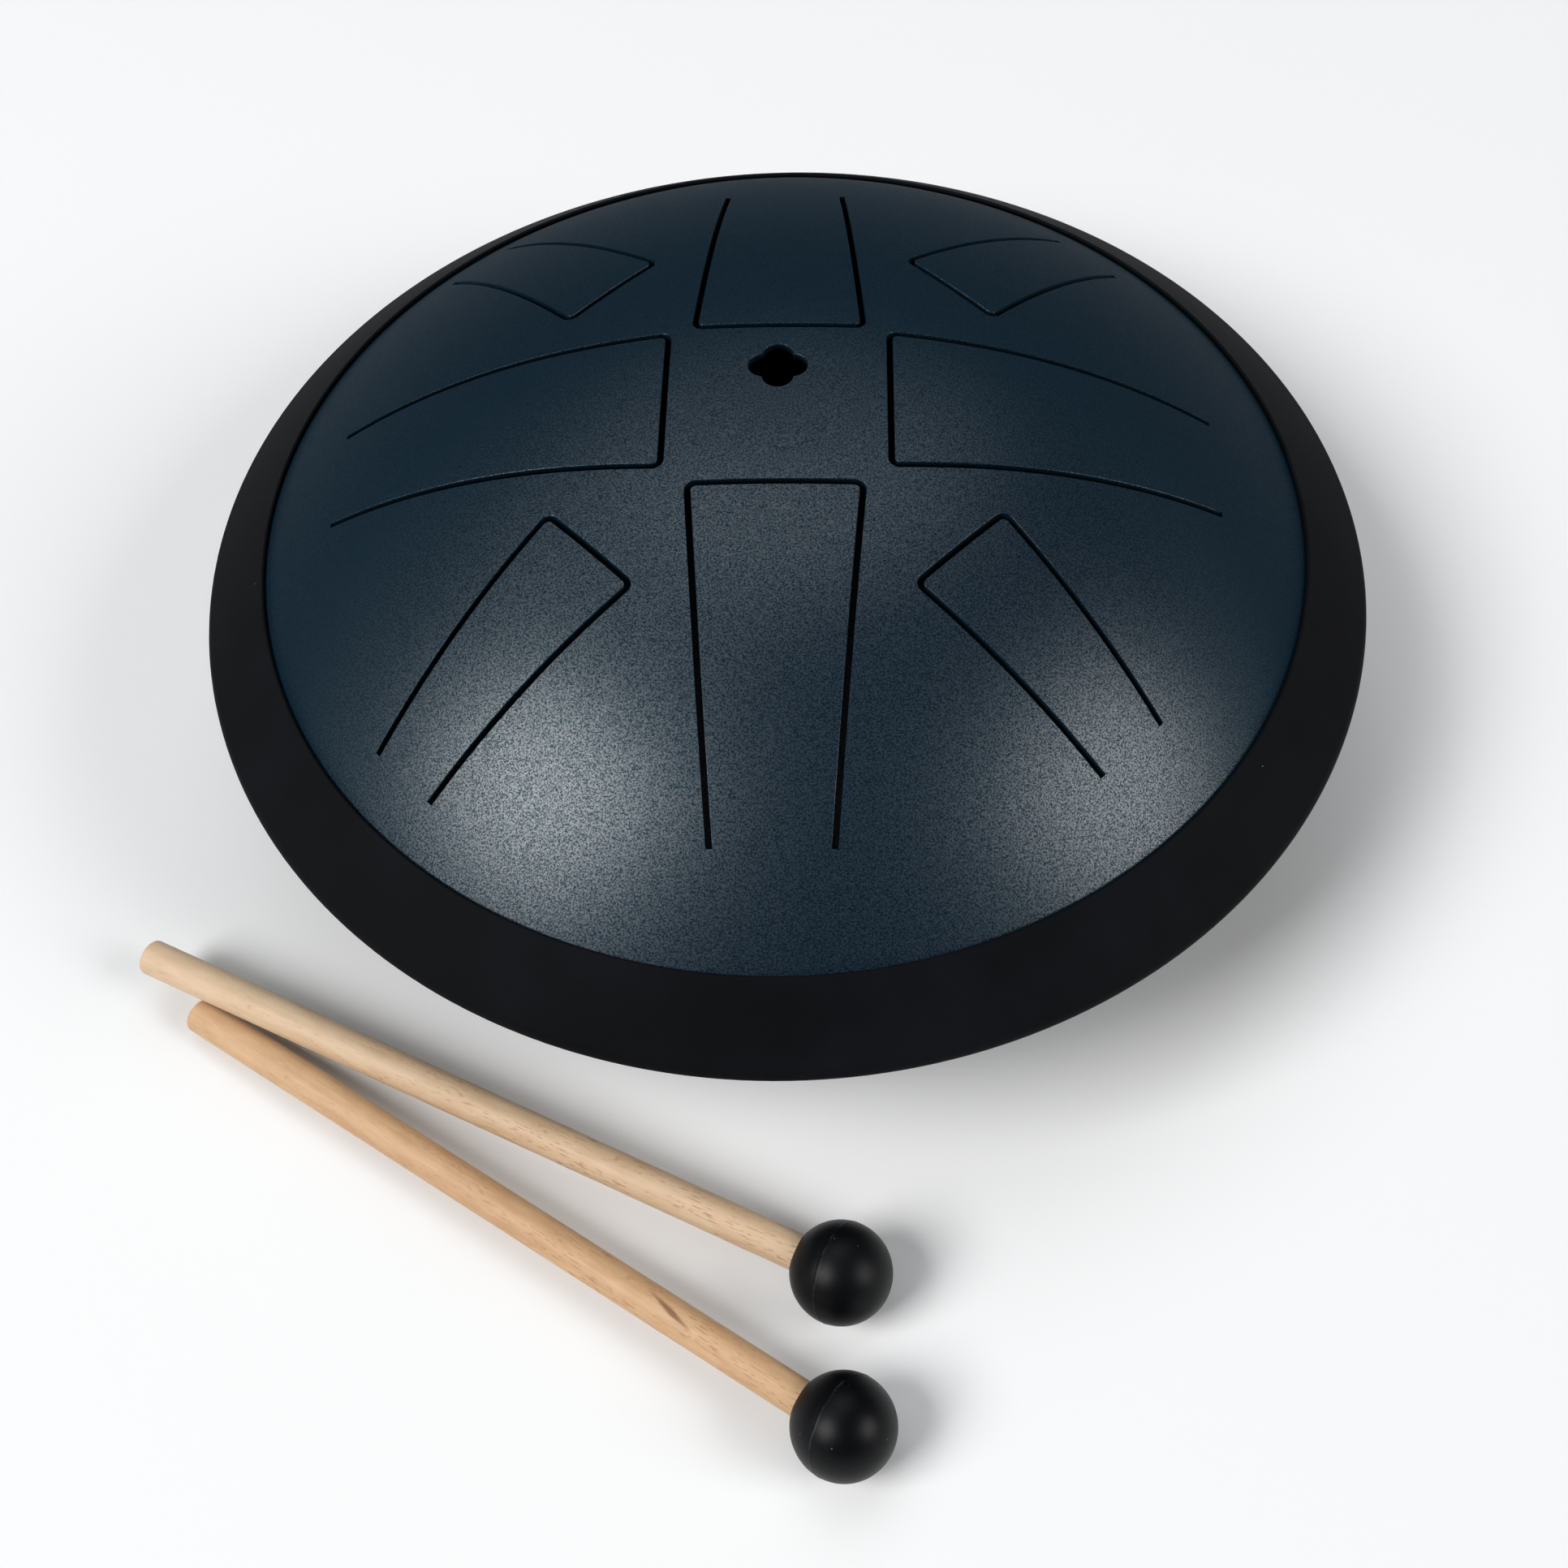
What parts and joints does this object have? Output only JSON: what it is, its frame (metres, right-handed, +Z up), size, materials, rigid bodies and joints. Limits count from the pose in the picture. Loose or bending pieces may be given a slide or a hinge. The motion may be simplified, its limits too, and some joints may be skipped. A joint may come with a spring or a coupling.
{
  "type": "tongue drum",
  "caption": "Round steel tongue drum: a slotted dome of tuned tongues with a lobed sound hole, a pan-shaped bottom shell, a rubber rim band and feet, with wooden mallets beside it.",
  "frame": {"origin": "centre of the flat underside of the bottom shell, on the drum's axis; the feet reach 6 mm lower", "axes": "+Z up along the drum's axis, -Y towards the player and the mallets, +X to the player's right"},
  "size_m": [0.2644, 0.3186, 0.0931],
  "materials": {
    "shell_paint": "satin fine-textured powder coat, midnight blue",
    "seam_adhesive": "matte",
    "band_rubber": "matte",
    "foot_rubber": "matte",
    "stick_wood": "sanded beech with a thin clear coat",
    "head_rubber": "satin moulded rubber"
  },
  "bodies": {
    "drum": {"top_shell": "shell_paint", "bottom_shell": "shell_paint", "rim_bond": "seam_adhesive", "rim_band": "band_rubber", "foot_back_right": "foot_rubber", "foot_back_left": "foot_rubber", "foot_front_left": "foot_rubber", "foot_front_right": "foot_rubber"},
    "tongue_front": {"tongue_front": "shell_paint"},
    "tongue_front_right": {"tongue_front_right": "shell_paint"},
    "tongue_right": {"tongue_right": "shell_paint"},
    "tongue_back_right": {"tongue_back_right": "shell_paint"},
    "tongue_back": {"tongue_back": "shell_paint"},
    "tongue_back_left": {"tongue_back_left": "shell_paint"},
    "tongue_left": {"tongue_left": "shell_paint"},
    "tongue_front_left": {"tongue_front_left": "shell_paint"},
    "mallet_1": {"mallet_1_stick": "stick_wood", "mallet_1_head": "head_rubber"},
    "mallet_2": {"mallet_2_stick": "stick_wood", "mallet_2_head": "head_rubber"}
  },
  "joints": [
    {"name": "tongue_front_bend", "type": "hinge", "parent": "drum", "child": "tongue_front", "pos_m": [0, -0.0927, 0.06293], "axis": [1, 0, 0], "range_deg": [-0.4, 0.4], "stiffness_Nm_per_rad": 4.5, "springref_deg": 0.12},
    {"name": "tongue_front_right_bend", "type": "hinge", "parent": "drum", "child": "tongue_front_right", "pos_m": [0.06873, -0.06873, 0.05987], "axis": [0.7071, 0.7071, 0], "range_deg": [-0.4, 0.4], "stiffness_Nm_per_rad": 0.92, "springref_deg": 0.17},
    {"name": "tongue_right_bend", "type": "hinge", "parent": "drum", "child": "tongue_right", "pos_m": [0.0912, 0, 0.0639], "axis": [0, 1, 0], "range_deg": [-0.4, 0.4], "stiffness_Nm_per_rad": 4.2, "springref_deg": 0.12},
    {"name": "tongue_back_right_bend", "type": "hinge", "parent": "drum", "child": "tongue_back_right", "pos_m": [0.06958, 0.06958, 0.05901], "axis": [-0.7071, 0.7071, 0], "range_deg": [-0.4, 0.4], "stiffness_Nm_per_rad": 0.99, "springref_deg": 0.16},
    {"name": "tongue_back_bend", "type": "hinge", "parent": "drum", "child": "tongue_back", "pos_m": [0, 0.077, 0.07188], "axis": [-1, 0, 0], "range_deg": [-0.4, 0.4], "stiffness_Nm_per_rad": 2.03, "springref_deg": 0.16},
    {"name": "tongue_back_left_bend", "type": "hinge", "parent": "drum", "child": "tongue_back_left", "pos_m": [-0.07191, 0.07191, 0.05657], "axis": [-0.7071, -0.7071, 0], "range_deg": [-0.4, 0.4], "stiffness_Nm_per_rad": 1.23, "springref_deg": 0.15},
    {"name": "tongue_left_bend", "type": "hinge", "parent": "drum", "child": "tongue_left", "pos_m": [-0.0942, 0, 0.06194], "axis": [0, -1, 0], "range_deg": [-0.4, 0.4], "stiffness_Nm_per_rad": 4.79, "springref_deg": 0.11},
    {"name": "tongue_front_left_bend", "type": "hinge", "parent": "drum", "child": "tongue_front_left", "pos_m": [-0.07248, -0.07248, 0.05596], "axis": [0.7071, -0.7071, 0], "range_deg": [-0.4, 0.4], "stiffness_Nm_per_rad": 1.29, "springref_deg": 0.15},
    {"name": "mallet_1_lift", "type": "slide", "parent": "drum", "child": "mallet_1", "axis": [0, 0, 1], "range_m": [0, 0.2]},
    {"name": "mallet_2_draw", "type": "slide", "parent": "drum", "child": "mallet_2", "axis": [0.8446, -0.5354, 0], "range_m": [0, 0.2]}
  ]
}
